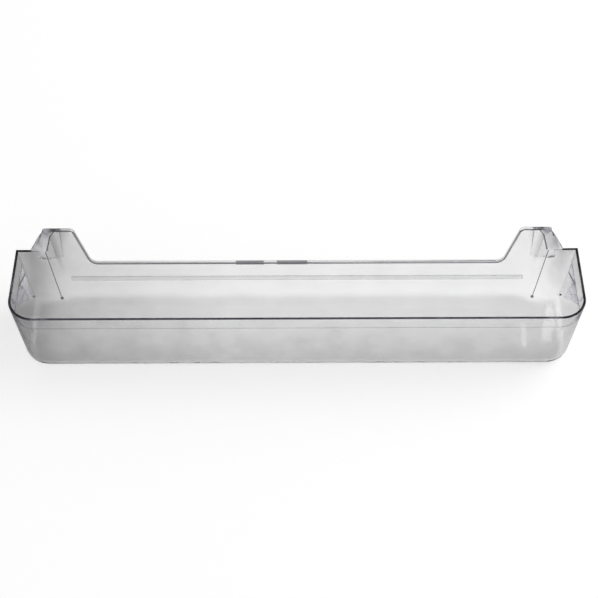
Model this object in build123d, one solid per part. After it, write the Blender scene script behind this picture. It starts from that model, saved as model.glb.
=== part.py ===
from build123d import *
import math
import os

# Fridge door shelf: an open tray moulded in one shot from clear polystyrene.
# Millimetres. X runs along the shelf, Y from the room side (-Y) to the door side (+Y), Z up.
# The origin is under the middle of the shelf, on the surface that it stands on.

# Overall sizes
rim_width = 495.0         # over the end walls, at the rim
overall_depth = 89.5      # front rim to the door face that the hooks lie against
rim_height = 67.5         # underside to the rim of the front and end walls
ear_rise = 17.5           # top of the hook ears above that rim
back_drop = 24.5          # the low back rim below that rim

# Walls, with the degrees that each one leans out towards its top
wall = 2.7                # front, end, return and step walls, and the roofs of the hooks
floor_thickness = 2.6
back_wall = 4.0           # hooks, and the back wall with the lip along its top
front_draft = 1.0
back_draft = 1.5
end_draft = 7.5
plan_taper = 1.0          # each end wall is this much nearer the middle at its door end

# Thin band inside the rim of the front and end walls
band_height = 13.5
band_step = 0.3           # how much thinner the walls are there

# Corners and edges
corner_radius = 23.0      # front corners, outside
floor_radius = 6.3        # floor edge, inside
step_radius = 1.0         # corner of return wall and step wall
rim_rounding = 0.6        # edges of the front, end and return rims
back_rounding = 0.6       # edges of the back rim and the ears

# Return walls, and the step walls that lead back from them to the back wall
return_length = 26.0      # end wall to step wall, at the rim
step_angle = 42.0         # degrees in plan between step wall and return wall
slot = 5.0                # gap behind each return wall that takes the door's hanging rib

# Ears, the hooks that hang from them behind the return walls, and the sloping roofs over the hooks' slots
roof_overlap = 11.5       # how far each roof reaches out along the return wall's rim
hook_overlap = 9.5        # how far each hook reaches out behind the return wall, at its lower end
hook_drop = 17.0          # the hook's lower end below the rim
outer_lean = 11.0         # how far the roof's outer edge leans in at the top
ear_width = 26.5          # along the top, over its rounded corners
inner_lean = 13.0         # how far the ear's inner slope spreads towards the low back rim
ear_radius = 5.0
ear_foot_radius = 8.0
hook_radius = 2.0

# Lip that is turned out towards the door along the top of the back wall and round the ears
lip_height = 2.0
lip_reach = 1.8           # how far it stands out from the wall

# Rib along the door side of the back wall
rib_height = 5.0
rib_level = 22.3          # underside to the middle of the rib
rib_reach = 1.5
rib_rounding = 1.0
rib_end_gap = 3.0         # from each end of the rib to the step wall

# Places worked out from these sizes
foot_radius = floor_radius + wall
bend_radius = foot_radius + rim_rounding
ear_top = rim_height + ear_rise
back_rim = rim_height - back_drop
front_face = -overall_depth / 2
door_face = overall_depth / 2
step_start = rim_width / 2 - return_length
roof_edge = step_start + roof_overlap
hook_edge = step_start + hook_overlap
ear_outer = roof_edge - outer_lean
ear_inner = ear_outer - ear_width

# Room that the cutting tools leave round the model, and how near counts as on a face
clear = 10.0
near = 0.02
above = ear_top + clear


def run(angle, drop):
    """How far a wall that leans by this angle moves over a drop in height."""
    return drop * math.tan(math.radians(angle))


def back_face(z):
    """The door side of the back wall, the ears and the hooks."""
    return door_face - run(back_draft, ear_top - z)


def return_face(z):
    """The door side of the two return walls."""
    return back_face(z) - back_wall - slot


def step_line(z, y, inset):
    """Where the right step wall stands at a height and a depth, moved in square to itself."""
    slope = math.radians(step_angle)
    start = step_start - run(end_draft, rim_height - z)
    return start - (y - return_face(z)) / math.tan(slope) - inset / math.sin(slope)


def rounded(plan, x, y, radius):
    """The same plan with its corners at this place and at its mirror image rounded."""
    corners = [v for v in plan.vertices() if abs(abs(v.X) - x) < near and abs(v.Y - y) < near]
    return fillet(corners, radius)


def tray_outline(z, room_inset, door_inset, back_inset):
    """Plan outline of the tray at one height.

    The insets move the front and end walls, the return and step walls, and the back wall inwards
    from the outside of the moulding.
    """
    front = front_face + run(front_draft, rim_height - z) + room_inset
    end = rim_width / 2 - run(end_draft, rim_height - z) - room_inset
    returns = return_face(z) - door_inset
    back = back_face(z) - back_inset
    front_corner = (end, front)
    step_corner = (step_line(z, returns, door_inset), returns)
    back_corner = (step_line(z, back, door_inset), back)
    right = [front_corner, (end - plan_taper, returns), step_corner, back_corner]
    left = [(-x, y) for x, y in reversed(right)]
    plan = make_face(Polyline(*right, *left, close=True))
    plan = rounded(plan, *front_corner, corner_radius - room_inset)
    plan = rounded(plan, *step_corner, step_radius)
    plan = rounded(plan, *back_corner, bend_radius - door_inset)
    return Pos(0, 0, z) * plan


def tray_block(z, *insets):
    """The tray's outer form, or a space inside it, from one height to above the ears."""
    return loft([tray_outline(z, *insets), tray_outline(above, *insets)], ruled=True)


def round_foot(block, radius):
    """The same block with its lower edges rounded."""
    return fillet(block.faces().sort_by(Axis.Z)[0].edges(), radius)


def bar(points, start, end):
    """A bar along X with this YZ section."""
    section = Plane.YZ * make_face(Polyline(*points, close=True))
    return Pos(start, 0, 0) * extrude(section, amount=end - start)


def roof_line():
    """Where the top of a hook's roof starts on the return wall and ends on the ear, in YZ."""
    start = return_face(rim_height) - wall + 2 * rim_rounding
    return (start, rim_height), (back_face(ear_top) - back_wall, ear_top)


def open_top():
    """What is cut away above the rim: level to the return walls, then up along the roofs."""
    before = front_face - clear
    (start, low), (end, high) = roof_line()
    points = [(before, low), (start, low), (end, high), (end, above), (before, above)]
    return bar(points, -rim_width, rim_width)


def skyline():
    """What is cut away above the ears, the low back rim between them and the rims beside them."""
    far = rim_width / 2 + clear
    foot = ear_inner - inner_lean
    right = [(foot, back_rim), (ear_inner, ear_top), (ear_outer, ear_top), (roof_edge, rim_height),
             (far, rim_height), (far, above)]
    left = [(-x, z) for x, z in reversed(right)]
    profile = make_face(Polyline(*right, *left, close=True))
    profile = rounded(profile, foot, back_rim, ear_foot_radius)
    profile = rounded(profile, ear_inner, ear_top, ear_radius)
    profile = rounded(profile, ear_outer, ear_top, ear_radius)
    return extrude(Plane.XZ * profile, amount=-(door_face + clear))


def lip_and_hook():
    """The lip along the back wall's top and round the ear, with the hook that it carries on into."""
    lower = rim_height - hook_drop
    root = step_line(rim_height, back_face(rim_height), wall)
    shift = lip_height * math.tan(math.atan2(ear_top - back_rim, inner_lean) / 2)
    rim_foot = (ear_inner - inner_lean + shift, back_rim - lip_height)
    ear_foot = (ear_inner + shift, ear_top - lip_height)
    root_head = (root, ear_top - lip_height)
    profile = make_face(Polyline(
        (-clear, back_rim - lip_height), rim_foot, ear_foot, root_head, (root, lower), (hook_edge, lower),
        (ear_outer, ear_top), (ear_outer, above), (-clear, above), close=True,
    ))
    profile = rounded(profile, *rim_foot, ear_foot_radius + lip_height)
    profile = rounded(profile, *ear_foot, ear_radius - lip_height)
    profile = rounded(profile, *root_head, hook_radius)
    profile = rounded(profile, hook_edge, lower, hook_radius)
    plate = bar([(back_face(z) - inset, z)
                 for z, inset in ((0, back_wall), (0, 0), (above, 0), (above, back_wall))], -clear, rim_width)
    return plate & extrude(Plane.XZ * profile, amount=-(door_face + clear))


def stiffening_rib():
    """The rib along the door side of the back wall, rounded along its edges."""
    face = back_face(rib_level) - lip_reach + rib_reach
    root = back_face(rib_level) - (back_wall + lip_reach) / 2
    length = 2 * (step_line(rib_level, face, 0) - rib_end_gap)
    rib = Pos(0, (root + face) / 2, rib_level) * Box(length, face - root, rib_height)
    return fillet(rib.faces().sort_by(Axis.Y)[-1].edges(), rib_rounding)


def roof():
    """The sloping roof that joins a hook to its return wall and carries the shelf on the door's rib."""
    (start, low), (end, high) = roof_line()
    drop = wall * math.hypot(end - start, high - low) / (end - start)
    points = [(start, low - drop), (end, high - drop), (end, above), (start, above)]
    return bar(points, ear_inner, roof_edge)


def round_rim(half):
    """The same half with the edges of its front, end and return rims rounded, up to the roof."""
    door_side = return_face(rim_height)
    level = half.edges().filter_by_position(Axis.Z, rim_height - near, rim_height + near)
    rims = [edge for edge in level
            if edge.center().Y < door_side - wall - near or abs(edge.center().Y - door_side) < near]
    return fillet(rims, rim_rounding)


def round_back(half):
    """The same half with the edges of its low back rim rounded, on up round the ear and down the roof.

    The rounding follows an edge for as long as it runs on smoothly, so the low rim's two edges take the ear's
    with them. The last edge is the one where the roof falls away to the step wall.
    """
    (start, low), (end, high) = roof_line()
    slope = (high - low) / (end - start)

    def on_roof(point):
        return abs(point.Z - low - slope * (point.Y - start)) < near

    level = half.edges().filter_by_position(Axis.Z, back_rim - near, back_rim + near)
    low_rim = [edge for edge in level if edge.length > back_wall + near]
    rising = [edge for edge in half.edges()
              if on_roof(edge @ 0) and on_roof(edge @ 1) and abs(edge.bounding_box().min.Z - low) < near
              and edge.bounding_box().size.Z > near]
    crease = min(rising, key=lambda edge: edge.center().X)
    return fillet([*low_rim, crease], back_rounding)


outside = round_foot(tray_block(0, 0, 0, lip_reach), foot_radius)
inside = round_foot(tray_block(floor_thickness, wall, wall, back_wall), floor_radius)
rim_band = tray_block(rim_height - band_height, wall - band_step, wall, back_wall)

# The shelf is mirror-symmetric, so its edges are rounded on the right half, which is then doubled.
right_side = Box(rim_width, rim_width, 2 * above, align=(Align.MIN, Align.CENTER, Align.CENTER))
half = (outside + lip_and_hook() + roof() - inside - rim_band - open_top() - skyline()) & right_side
half = round_rim(round_back(half))
shelf = half + mirror(half, about=Plane.YZ) + stiffening_rib()

os.makedirs("parts", exist_ok=True)
export_step(shelf, "parts/door_shelf.step")
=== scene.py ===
import math

import bpy
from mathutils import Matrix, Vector


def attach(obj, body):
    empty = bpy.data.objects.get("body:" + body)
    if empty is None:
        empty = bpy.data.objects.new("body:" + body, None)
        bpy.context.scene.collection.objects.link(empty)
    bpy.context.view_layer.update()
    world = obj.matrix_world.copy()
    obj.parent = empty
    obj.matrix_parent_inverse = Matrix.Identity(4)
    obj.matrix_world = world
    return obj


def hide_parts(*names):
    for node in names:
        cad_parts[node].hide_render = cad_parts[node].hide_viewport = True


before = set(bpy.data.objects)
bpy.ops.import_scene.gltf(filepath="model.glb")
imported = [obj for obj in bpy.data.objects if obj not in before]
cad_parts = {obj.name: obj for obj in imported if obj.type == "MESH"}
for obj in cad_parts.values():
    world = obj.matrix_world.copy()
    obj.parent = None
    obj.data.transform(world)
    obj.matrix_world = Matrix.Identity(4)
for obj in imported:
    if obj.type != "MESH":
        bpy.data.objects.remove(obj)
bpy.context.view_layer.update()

# Fridge door shelf: one moulding in clear polystyrene, on a white studio floor.
# Metres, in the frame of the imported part: X along the shelf, Y towards the door, Z up.

MM = 0.001

# Places on the moulding in millimetres, as in the part's source. X counts outwards, as both ends are alike.
RIM = 67.5                # height of the front, end and return rims
EAR_TOP = 85.0
LOW_RIM = 43.0            # height of the back rim between the ears
DOOR_SIDE = 44.75         # door side of the ears and hooks, at the ears' tops
BACK_LEAN = 1.5           # degrees that the back wall leans out
END_LEAN = 7.5            # degrees that the end walls and the step corners lean out
BACK_WALL = 4.0           # from the tray side of the back wall to the door side
RETURN_WALL = 11.7        # from the tray side of the return walls to the door side
STEP_CORNER = 220.5       # corner of return wall and step wall, at the rim
STEP_FOOT = 5.3           # height at which that corner runs into the floor's rounding
EAR_END = 213.0           # where each ear's front edge runs out into the roof of its hook
ROOF_EDGE = 231.0         # just inside the roof's outer edge, where it stands on the return rim
FRONT_CORNER = 226.0      # just outside the start of the rounded front corners
FLOOR_EDGE = 9.0          # height of the rounded floor edge, outside
DOOR_HALF = 30.0          # what is further back than this is at the door side
ROUNDING = 0.6            # of the rims' edges
NEAR = 0.1                # how near counts as on an edge
RIB_LOW = 19.0            # just below the rib
RIB_HIGH = 25.6           # just above the rib
RIB_END = 212.0           # just past the rib's ends
RIB_ROOT = 1.85           # from just in front of the rib's root to the door side
ROOF_CREASE = [(219.1, 33.8, RIM), (215.6, 38.8, 80.0), (211.6, 40.75, EAR_TOP)]

# The trimmed gates on the low back rim: the middle of each, counted to the right, and its length
GATES = [(-42.0, 25.0), (-4.3, 27.2)]
GATE_DEPTH = 1.4          # how far down from the rim their marks reach


def linear(hex_colour):
    """An sRGB hex colour as linear red, green, blue and alpha."""
    shares = [int(hex_colour[i:i + 2], 16) / 255 for i in (1, 3, 5)]
    return [c / 12.92 if c <= 0.04045 else ((c + 0.055) / 1.055) ** 2.4 for c in shares] + [1.0]


def add_node(tree, kind, inputs=None, **settings):
    """Adds a node. An input that is given a socket is linked to it, any other is set."""
    made = tree.nodes.new(kind)
    for name, value in settings.items():
        setattr(made, name, value)
    for name, value in (inputs or {}).items():
        if isinstance(value, bpy.types.NodeSocket):
            tree.links.new(value, made.inputs[name])
        else:
            made.inputs[name].default_value = value
    return made


def empty_material(name):
    """A material with no nodes, and its tree."""
    material = bpy.data.materials.new(name)
    material.use_nodes = True
    material.node_tree.nodes.clear()
    return material, material.node_tree


def painted_crease_shade(tree, place):
    """Painted shade: a dark line where each hook's roof falls away to its step wall, 1 on it, 0 beside it.

    Its rounded edge is too fine to show, so the line is drawn about twice as wide, with soft borders.
    """
    core, border = 0.5 * MM, 0.9 * MM
    either_end = add_node(tree, "ShaderNodeVectorMath", {0: place}, operation="ABSOLUTE").outputs["Vector"]
    crease = 0.0
    for start, end in zip(ROOF_CREASE, ROOF_CREASE[1:]):
        start = Vector(start) * MM
        stretch = Vector(end) * MM - start
        arm = add_node(tree, "ShaderNodeVectorMath", {0: either_end, 1: start}, operation="SUBTRACT")
        along = add_node(tree, "ShaderNodeVectorMath", {
            0: arm.outputs["Vector"], 1: stretch / stretch.length_squared,
        }, operation="DOT_PRODUCT")
        share = add_node(tree, "ShaderNodeClamp", {"Value": along.outputs["Value"]})
        foot = add_node(tree, "ShaderNodeVectorMath", {
            0: stretch, "Scale": share.outputs[0],
        }, operation="SCALE")
        gap = add_node(tree, "ShaderNodeVectorMath", {
            0: arm.outputs["Vector"], 1: foot.outputs["Vector"],
        }, operation="DISTANCE")
        line = add_node(tree, "ShaderNodeMapRange", {
            "Value": gap.outputs["Value"], "From Min": core, "From Max": border, "To Min": 1.0, "To Max": 0.0,
        })
        crease = add_node(tree, "ShaderNodeMath", {
            0: line.outputs[0], 1: crease,
        }, operation="MAXIMUM").outputs[0]
    return crease


def trimmed_gates(tree, place):
    """The two stretches of the low back rim where the gates were trimmed off: 1 on them, 0 elsewhere."""
    axis = add_node(tree, "ShaderNodeSeparateXYZ", {"Vector": place}).outputs
    on_top = add_node(tree, "ShaderNodeMath", {
        0: axis["Z"], 1: (LOW_RIM - GATE_DEPTH) * MM,
    }, operation="GREATER_THAN")
    at_back = add_node(tree, "ShaderNodeMath", {0: axis["Y"], 1: DOOR_HALF * MM}, operation="GREATER_THAN")
    rim = add_node(tree, "ShaderNodeMath", {
        0: on_top.outputs[0], 1: at_back.outputs[0],
    }, operation="MULTIPLY")
    trimmed = 0.0
    for middle, length in GATES:
        gate = add_node(tree, "ShaderNodeMath", {
            0: axis["X"], 1: middle * MM, 2: length / 2 * MM,
        }, operation="COMPARE")
        trimmed = add_node(tree, "ShaderNodeMath", {
            0: gate.outputs[0], 1: rim.outputs[0], 2: trimmed,
        }, operation="MULTIPLY_ADD").outputs[0]
    return trimmed


def clear_moulded_polystyrene():
    """Clear general purpose polystyrene, moulded against a polished tool.

    It bends light strongly, so a wall seen edge on traps it and goes nearly black, while a single wall is
    only slightly smoky. A long way through it is a little violet. Fine roundings trap light too, and read as
    thin dark lines; these lines, darker end rims, slightly darker end walls and a dark line along each roof's
    crease are also painted shade in the base colour. The roofs over the hooks, the ears' tops and the rib
    were left dull in the tool, and the trimmed gates are dull and grey.
    """
    material, tree = empty_material("Clear moulded polystyrene")
    place = add_node(tree, "ShaderNodeTexCoord").outputs["Object"]
    # Painted shade, read from the faces' marks: dark lines on fine edges, darker end rims, slightly darker
    # end walls.
    shade_lines = add_node(tree, "ShaderNodeAttribute", attribute_name="painted_edge_shade").outputs["Fac"]
    dull = add_node(tree, "ShaderNodeAttribute", attribute_name="dull_face").outputs["Fac"]
    gates = trimmed_gates(tree, place)
    gate_grey, dull_roughness = 0.88, 0.4
    # Painted shade on edges and creases, with the gates' own grey, pulls the base colour towards a dark grey.
    shaded = add_node(tree, "ShaderNodeMath", {
        0: shade_lines, 1: painted_crease_shade(tree, place),
    }, operation="MAXIMUM")
    dark = add_node(tree, "ShaderNodeMath", {
        0: gates, 1: gate_grey, 2: shaded.outputs[0],
    }, operation="MULTIPLY_ADD", use_clamp=True)

    # The tool's polish leaves a soft ripple, which bends what is seen through the walls a little.
    ripple = add_node(tree, "ShaderNodeTexNoise", {"Vector": place, "Scale": 1 / (45 * MM), "Detail": 1.0})
    swell = add_node(tree, "ShaderNodeBump", {
        "Height": ripple.outputs["Fac"], "Strength": 0.015, "Distance": 0.5 * MM,
    })

    # Wiping leaves hairlines too fine to show, so they are drawn as patches of softer gloss.
    haze = add_node(tree, "ShaderNodeTexNoise", {"Vector": place, "Scale": 1 / (9 * MM), "Detail": 4.0})
    polish = add_node(tree, "ShaderNodeMapRange", {
        "Value": haze.outputs["Fac"], "From Min": 0.35, "From Max": 0.75, "To Min": 0.015, "To Max": 0.06,
    })
    blunt = add_node(tree, "ShaderNodeMath", {0: dull, 1: gates}, operation="ADD")
    rough = add_node(tree, "ShaderNodeMath", {
        0: blunt.outputs[0], 1: dull_roughness, 2: polish.outputs[0],
    }, operation="MULTIPLY_ADD")

    # Use leaves it faintly cloudy.
    cloud = add_node(tree, "ShaderNodeTexNoise", {
        "Vector": place, "Scale": 1 / (22 * MM), "Detail": 5.0, "Roughness": 0.65,
    })
    clouded = add_node(tree, "ShaderNodeMapRange", {
        "Value": cloud.outputs["Fac"], "From Min": 0.35, "From Max": 0.70, "To Min": 0.0, "To Max": 1.0,
    })
    tint = add_node(tree, "ShaderNodeMix", {
        0: clouded.outputs[0], 6: linear("#ffffff"), 7: linear("#f6f6f6"),
    }, data_type="RGBA")
    # The dark grey stands for painted shade on edges and creases, and for the gates' grey.
    colour = add_node(tree, "ShaderNodeMix", {
        0: dark.outputs[0], 6: tint.outputs[2], 7: linear("#303236"),
    }, data_type="RGBA")

    plastic = add_node(tree, "ShaderNodeBsdfPrincipled", {
        "Base Color": colour.outputs[2],
        "IOR": 1.59,
        "Transmission Weight": 1.0,
        "Roughness": rough.outputs[0],
        "Normal": swell.outputs["Normal"],
    })
    smoke = add_node(tree, "ShaderNodeVolumeAbsorption", {"Color": linear("#908ea6"), "Density": 15.0})
    add_node(tree, "ShaderNodeOutputMaterial", {
        "Surface": plastic.outputs["BSDF"], "Volume": smoke.outputs["Volume"],
    })
    return material


def white_sweep():
    """Matt white paper. Looked at directly it is lifted to full white, and it keeps the shelf's shadow.

    Through the clear walls and in their gloss it is lifted less, and least past the shelf's ends, front and
    back, and towards the left end, so the walls read as grey against the white. These lower lifts by place
    are painted shade in the paper's glow.
    """
    seen_lift, through_lift, mirrored_lift = 0.62, 0.44, 0.2
    # Painted shade: the glow fades by place past the shelf's ends, front and back.
    falls = [("X", -200, -270, 0.0), ("X", 215, 300, 0.1), ("Y", 10, -50, 0.4), ("Y", 30, 75, 0.72)]
    material, tree = empty_material("Matt white sweep")
    ray = add_node(tree, "ShaderNodeLightPath").outputs
    place = add_node(tree, "ShaderNodeTexCoord").outputs["Object"]
    axis = add_node(tree, "ShaderNodeSeparateXYZ", {"Vector": place}).outputs
    # Painted shade: the glow seen through and in the shelf dims towards the left end.
    painted_left_shade = add_node(tree, "ShaderNodeMapRange", {
        "Value": axis["X"], "From Min": -240 * MM, "From Max": -60 * MM, "To Min": 0.55, "To Max": 1.0,
    })
    lift = {"X": painted_left_shade.outputs[0], "Y": through_lift}
    for side, near, far, least in falls:
        fall = add_node(tree, "ShaderNodeMapRange", {
            "Value": axis[side], "From Min": near * MM, "From Max": far * MM, "To Min": 1.0, "To Max": least,
        }, interpolation_type="SMOOTHSTEP")
        lift[side] = add_node(tree, "ShaderNodeMath", {
            0: lift[side], 1: fall.outputs[0],
        }, operation="MULTIPLY").outputs[0]
    through = add_node(tree, "ShaderNodeMath", {
        0: ray["Is Transmission Ray"], 1: lift["Y"],
    }, operation="MULTIPLY")
    mirrored = add_node(tree, "ShaderNodeMath", {
        0: ray["Is Glossy Ray"], 1: mirrored_lift, 2: through.outputs[0],
    }, operation="MULTIPLY_ADD")
    dimmed = add_node(tree, "ShaderNodeMath", {0: mirrored.outputs[0], 1: lift["X"]}, operation="MULTIPLY")
    shown = add_node(tree, "ShaderNodeMath", {
        0: ray["Is Camera Ray"], 1: seen_lift, 2: dimmed.outputs[0],
    }, operation="MULTIPLY_ADD")
    paper = add_node(tree, "ShaderNodeBsdfDiffuse", {"Color": linear("#d9d9d9")})
    glow = add_node(tree, "ShaderNodeEmission", {"Color": linear("#ffffff"), "Strength": shown.outputs[0]})
    both = add_node(tree, "ShaderNodeAddShader", {0: paper.outputs["BSDF"], 1: glow.outputs["Emission"]})
    add_node(tree, "ShaderNodeOutputMaterial", {"Surface": both.outputs["Shader"]})
    return material


def lean(angle, drop):
    """How far a wall that leans by these degrees comes in over a drop in height."""
    return drop * math.tan(math.radians(angle))


def door_side(z):
    """How far back the door side of the ears and hooks is at a height."""
    return DOOR_SIDE - lean(BACK_LEAN, EAR_TOP - z)


def folded(face):
    """A face's middle in millimetres and its normal, with the left end folded over onto the right one."""
    side = math.copysign(1, face.center.x)
    fold = Vector((side, 1, 1))
    return face.center * fold / MM, face.normal * fold


def painted_shade_of_face(face):
    """How much painted shade a face gets in the base colour: fully on fine roundings, less on the ends' rims,
    slightly on the end walls.
    """
    (x, y, z), (across, depth, up) = folded(face)
    # Weights of the painted shade: the dark look of trapped light, drawn into the colour.
    painted_line_shade, painted_rim_shade, painted_wall_shade = 1.0, 0.85, 0.15

    # The front edge of the low back rim and the ears, where the tray side turns over to the top
    behind_tray_side = y - door_side(z) + BACK_WALL
    in_edge = -NEAR < behind_tray_side < ROUNDING + NEAR and z > LOW_RIM - 1 and x < EAR_END
    turns_over = -0.99 < depth < -0.06
    if in_edge and turns_over:
        return painted_line_shade

    # The upright corner where each return wall turns into its step wall
    corner = (STEP_CORNER - lean(END_LEAN, RIM - z), door_side(z) - RETURN_WALL)
    in_corner = math.dist((x, y), corner) < 1.5 and STEP_FOOT < z < RIM - ROUNDING + NEAR
    turns_back = -0.64 < across < -0.02
    if in_corner and turns_back:
        return painted_line_shade

    # The rims of the ends, from the front corner round to the roof, and the end walls below them
    rim_start = ROOF_EDGE if y > DOOR_HALF else FRONT_CORNER
    if -ROUNDING - NEAR < z - RIM < NEAR / 2 and up > 0.05 and x > rim_start:
        return painted_rim_shade
    on_end_wall = abs(across) > 0.9 and x > FRONT_CORNER and z > FLOOR_EDGE
    return painted_wall_shade if on_end_wall else 0.0


def dullness(face):
    """How dull a face was left in the tool: the hooks' roofs, the ears' flat tops and, most, the rib."""
    (x, y, z), normal = folded(face)
    rib_dull, roof_dull = 2.0, 1.0
    if RIB_LOW < z < RIB_HIGH and x < RIB_END and y > door_side(z) - RIB_ROOT:
        return rib_dull
    start, end = Vector(ROOF_CREASE[0]), Vector(ROOF_CREASE[-1])
    roof_normal = Vector((0, start.z - end.z, end.y - start.y)).normalized()
    on_roof = normal.dot(roof_normal) > 0.999 and y > DOOR_HALF and z > RIM - ROUNDING + NEAR
    on_ear_top = normal.z > 0.99 and z > EAR_TOP - NEAR
    return roof_dull if on_roof or on_ear_top else 0.0


def mark_faces(mesh, name, rule):
    """Gives each face a number by a rule, which the material reads."""
    marks = mesh.attributes.new(name, "FLOAT", "FACE")
    marks.data.foreach_set("value", [rule(face) for face in mesh.polygons])


def dressed_shelf(node):
    """A smooth-shaded copy of the shelf's solid, with flat walls kept flat up to their rounded edges."""
    bpy.ops.object.select_all(action="DESELECT")
    shelf = node.copy()
    shelf.data = node.data.copy()
    shelf.name = "shelf_moulding"
    bpy.context.scene.collection.objects.link(shelf)
    bpy.context.view_layer.objects.active = shelf
    shelf.select_set(True)
    bpy.ops.object.mode_set(mode="EDIT")
    bpy.ops.mesh.select_all(action="SELECT")
    bpy.ops.mesh.remove_doubles(threshold=0.001 * MM)
    bpy.ops.object.mode_set(mode="OBJECT")
    # Marks where shade is painted into the shelf's colour.
    mark_faces(shelf.data, "painted_edge_shade", painted_shade_of_face)
    mark_faces(shelf.data, "dull_face", dullness)
    bpy.ops.object.shade_smooth_by_angle(angle=math.radians(32))
    flat_walls = shelf.modifiers.new("Flat walls", "WEIGHTED_NORMAL")
    flat_walls.keep_sharp = True
    flat_walls.weight = 100
    bpy.ops.object.modifier_apply(modifier=flat_walls.name)
    shelf.data.materials.clear()
    shelf.data.materials.append(clear_moulded_polystyrene())
    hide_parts("door_shelf")
    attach(shelf, "root")


def studio_floor():
    """A pale floor just under the shelf."""
    bpy.ops.mesh.primitive_plane_add(size=12, location=(0, 0, -0.3 * MM))
    floor = bpy.context.object
    floor.name = "studio_floor"
    floor.data.materials.append(white_sweep())


def soft_box():
    """One large diffused lamp, high on the right and a little behind, that faces the shelf."""
    place = Vector((2.4, 0.75, 1.95))
    bpy.ops.object.light_add(type="AREA", location=place)
    lamp = bpy.context.object
    lamp.name = "key_right"
    lamp.data.size = 3.0
    lamp.data.energy = 50
    lamp.rotation_mode = "QUATERNION"
    lamp.rotation_quaternion = (-place).to_track_quat("-Z", "Y")


def surroundings():
    """A dim studio: pale near the floor, darker overhead, brighter to the right."""
    world = bpy.data.worlds.new("Studio")
    bpy.context.scene.world = world
    world.use_nodes = True
    tree = world.node_tree
    tree.nodes.clear()
    direction = add_node(tree, "ShaderNodeTexCoord").outputs["Generated"]
    axis = add_node(tree, "ShaderNodeSeparateXYZ", {"Vector": direction}).outputs
    height = add_node(tree, "ShaderNodeMapRange", {
        "Value": axis["Z"], "From Min": 0.0, "From Max": 0.9, "To Min": 1.0, "To Max": 0.3,
    })
    side = add_node(tree, "ShaderNodeMapRange", {
        "Value": axis["X"], "From Min": -1.0, "From Max": 1.0, "To Min": 0.45, "To Max": 0.9,
    })
    light = add_node(tree, "ShaderNodeMath", {0: height.outputs[0], 1: side.outputs[0]}, operation="MULTIPLY")
    sky = add_node(tree, "ShaderNodeBackground", {"Color": linear("#ffffff"), "Strength": light.outputs[0]})
    add_node(tree, "ShaderNodeOutputWorld", {"Surface": sky.outputs["Background"]})


def camera():
    """Looks down at the shelf's front from 50 degrees up, 1.4 m from the middle of its front rim."""
    bpy.ops.object.camera_add(location=(0.0017, -0.9315, 1.1510))
    seen_from = bpy.context.object
    seen_from.rotation_mode = "ZYX"
    seen_from.rotation_euler = (math.radians(90 - 50), 0, math.radians(-0.2))
    seen_from.data.sensor_width = 36
    seen_from.data.lens = 99.62
    bpy.context.scene.camera = seen_from


dressed_shelf(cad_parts["door_shelf"])
studio_floor()
surroundings()
soft_box()
camera()
bpy.context.scene.view_settings.view_transform = "Standard"

# Light goes to and fro many times inside the clear walls before it comes out.
paths = bpy.context.scene.cycles
paths.max_bounces = paths.glossy_bounces = paths.transmission_bounces = 64
